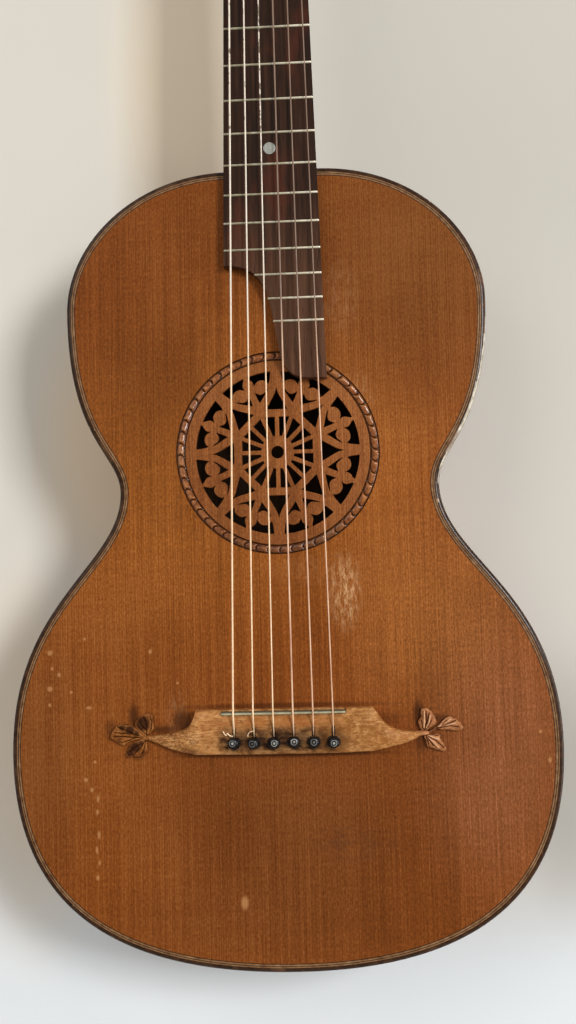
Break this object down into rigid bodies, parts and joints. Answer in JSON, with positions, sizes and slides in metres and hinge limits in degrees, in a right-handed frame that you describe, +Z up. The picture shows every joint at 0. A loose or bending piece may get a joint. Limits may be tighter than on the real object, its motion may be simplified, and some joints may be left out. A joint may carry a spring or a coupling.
{
  "type": "parlor guitar",
  "caption": "Small slotted-head guitar with a fretwork rosette, leaf-ended bridge, one-sided fingerboard end, worm-geared tuners and pull-out bridge pins.",
  "frame": {"origin": "centre of the end pin's flat outer face", "axes": "+Z up the neck, the soundboard faces -Y, +X is the treble side; the guitar hangs upright by its head"},
  "size_m": [0.311, 0.0962, 0.9464],
  "materials": {
    "spruce": "thin amber lacquer, worn",
    "rosette_wood": "thin amber lacquer",
    "carved_rope": "carved and polished",
    "body_wood": "lacquered",
    "neck_wood": "stained and lacquered",
    "inner_wood": "bare",
    "dark_edge": "worn",
    "purfling": "inlaid lines",
    "fingerboard_wood": "oiled dark wood",
    "veneer": "dark veneer",
    "bridge_wood": "mottled, worn",
    "leaf_wood": "carved",
    "bone": "polished bone",
    "pearl": "mother of pearl",
    "black_pin": "polished ebony",
    "tuner_metal": "aged brass",
    "wound_string": "silvery winding",
    "plain_string": "plain"
  },
  "bodies": {
    "guitar": {"soundboard": "spruce", "rosette_tracery": "rosette_wood", "rosette_rope": "carved_rope", "rosette_backing": "inner_wood", "back": "body_wood", "binding_front": "dark_edge", "binding_back": "dark_edge", "purfling_front": "purfling", "rib_bass": "body_wood", "lining_front_bass": "inner_wood", "lining_back_bass": "inner_wood", "leaf_bass": "leaf_wood", "tuner_plate_bass": "tuner_metal", "rib_treble": "body_wood", "lining_front_treble": "inner_wood", "lining_back_treble": "inner_wood", "leaf_treble": "leaf_wood", "tuner_plate_treble": "tuner_metal", "neck_block": "inner_wood", "tail_block": "inner_wood", "front_brace_1": "inner_wood", "back_brace_1": "inner_wood", "front_brace_2": "inner_wood", "back_brace_2": "inner_wood", "front_brace_3": "inner_wood", "back_brace_3": "inner_wood", "bridge_patch": "inner_wood", "end_pin": "black_pin", "neck": "neck_wood", "heel_cap": "dark_edge", "head_veneer": "veneer", "fingerboard": "fingerboard_wood", "position_dot": "pearl", "nut": "bone", "bridge": "bridge_wood", "saddle": "bone", "string_1": "plain_string", "string_2": "plain_string", "string_3": "plain_string", "string_4": "wound_string", "string_5": "wound_string", "string_6": "wound_string"},
    "key_1": {"tuner_key_1": "tuner_metal"},
    "roller_1": {"tuner_roller_1": "tuner_metal"},
    "pin_1": {"bridge_pin_1": "black_pin"},
    "key_2": {"tuner_key_2": "tuner_metal"},
    "roller_2": {"tuner_roller_2": "tuner_metal"},
    "pin_2": {"bridge_pin_2": "black_pin"},
    "key_3": {"tuner_key_3": "tuner_metal"},
    "roller_3": {"tuner_roller_3": "tuner_metal"},
    "pin_3": {"bridge_pin_3": "black_pin"},
    "key_4": {"tuner_key_4": "tuner_metal"},
    "roller_4": {"tuner_roller_4": "tuner_metal"},
    "pin_4": {"bridge_pin_4": "black_pin"},
    "key_5": {"tuner_key_5": "tuner_metal"},
    "roller_5": {"tuner_roller_5": "tuner_metal"},
    "pin_5": {"bridge_pin_5": "black_pin"},
    "key_6": {"tuner_key_6": "tuner_metal"},
    "roller_6": {"tuner_roller_6": "tuner_metal"},
    "pin_6": {"bridge_pin_6": "black_pin"}
  },
  "joints": [
    {"name": "key_1_turn", "type": "hinge", "parent": "guitar", "child": "key_1", "pos_m": [0.03515, -0.02138, 0.84258], "axis": [0, 0.9703, -0.2419], "continuous": true},
    {"name": "roller_1_turn", "type": "hinge", "parent": "guitar", "child": "roller_1", "pos_m": [0, -0.02336, 0.83466], "axis": [1, 0, 0], "continuous": true},
    {"name": "key_2_turn", "type": "hinge", "parent": "guitar", "child": "key_2", "pos_m": [0.03515, -0.01291, 0.87654], "axis": [0, 0.9703, -0.2419], "continuous": true},
    {"name": "roller_2_turn", "type": "hinge", "parent": "guitar", "child": "roller_2", "pos_m": [0, -0.01489, 0.86862], "axis": [1, 0, 0], "continuous": true},
    {"name": "key_3_turn", "type": "hinge", "parent": "guitar", "child": "key_3", "pos_m": [0.03515, -0.00445, 0.9105], "axis": [0, 0.9703, -0.2419], "continuous": true},
    {"name": "roller_3_turn", "type": "hinge", "parent": "guitar", "child": "roller_3", "pos_m": [0, -0.00642, 0.90258], "axis": [1, 0, 0], "continuous": true},
    {"name": "key_4_turn", "type": "hinge", "parent": "guitar", "child": "key_4", "pos_m": [-0.03515, -0.00445, 0.9105], "axis": [0, 0.9703, -0.2419], "continuous": true},
    {"name": "roller_4_turn", "type": "hinge", "parent": "guitar", "child": "roller_4", "pos_m": [0, -0.00642, 0.90258], "axis": [1, 0, 0], "continuous": true},
    {"name": "key_5_turn", "type": "hinge", "parent": "guitar", "child": "key_5", "pos_m": [-0.03515, -0.01291, 0.87654], "axis": [0, 0.9703, -0.2419], "continuous": true},
    {"name": "roller_5_turn", "type": "hinge", "parent": "guitar", "child": "roller_5", "pos_m": [0, -0.01489, 0.86862], "axis": [1, 0, 0], "continuous": true},
    {"name": "key_6_turn", "type": "hinge", "parent": "guitar", "child": "key_6", "pos_m": [-0.03515, -0.02138, 0.84258], "axis": [0, 0.9703, -0.2419], "continuous": true},
    {"name": "roller_6_turn", "type": "hinge", "parent": "guitar", "child": "roller_6", "pos_m": [0, -0.02336, 0.83466], "axis": [1, 0, 0], "continuous": true},
    {"name": "pin_1_pull", "type": "slide", "parent": "guitar", "child": "pin_1", "axis": [0, -1, 0], "range_m": [0, 0.024]},
    {"name": "pin_2_pull", "type": "slide", "parent": "guitar", "child": "pin_2", "axis": [0, -1, 0], "range_m": [0, 0.024]},
    {"name": "pin_3_pull", "type": "slide", "parent": "guitar", "child": "pin_3", "axis": [0, -1, 0], "range_m": [0, 0.024]},
    {"name": "pin_4_pull", "type": "slide", "parent": "guitar", "child": "pin_4", "axis": [0, -1, 0], "range_m": [0, 0.024]},
    {"name": "pin_5_pull", "type": "slide", "parent": "guitar", "child": "pin_5", "axis": [0, -1, 0], "range_m": [0, 0.024]},
    {"name": "pin_6_pull", "type": "slide", "parent": "guitar", "child": "pin_6", "axis": [0, -1, 0], "range_m": [0, 0.024]}
  ],
  "couplings": [
    {"joint": "roller_1_turn", "follows": "key_1_turn", "ratio": 0.071429},
    {"joint": "roller_2_turn", "follows": "key_2_turn", "ratio": 0.071429},
    {"joint": "roller_3_turn", "follows": "key_3_turn", "ratio": 0.071429},
    {"joint": "roller_4_turn", "follows": "key_4_turn", "ratio": 0.071429},
    {"joint": "roller_5_turn", "follows": "key_5_turn", "ratio": 0.071429},
    {"joint": "roller_6_turn", "follows": "key_6_turn", "ratio": 0.071429}
  ]
}
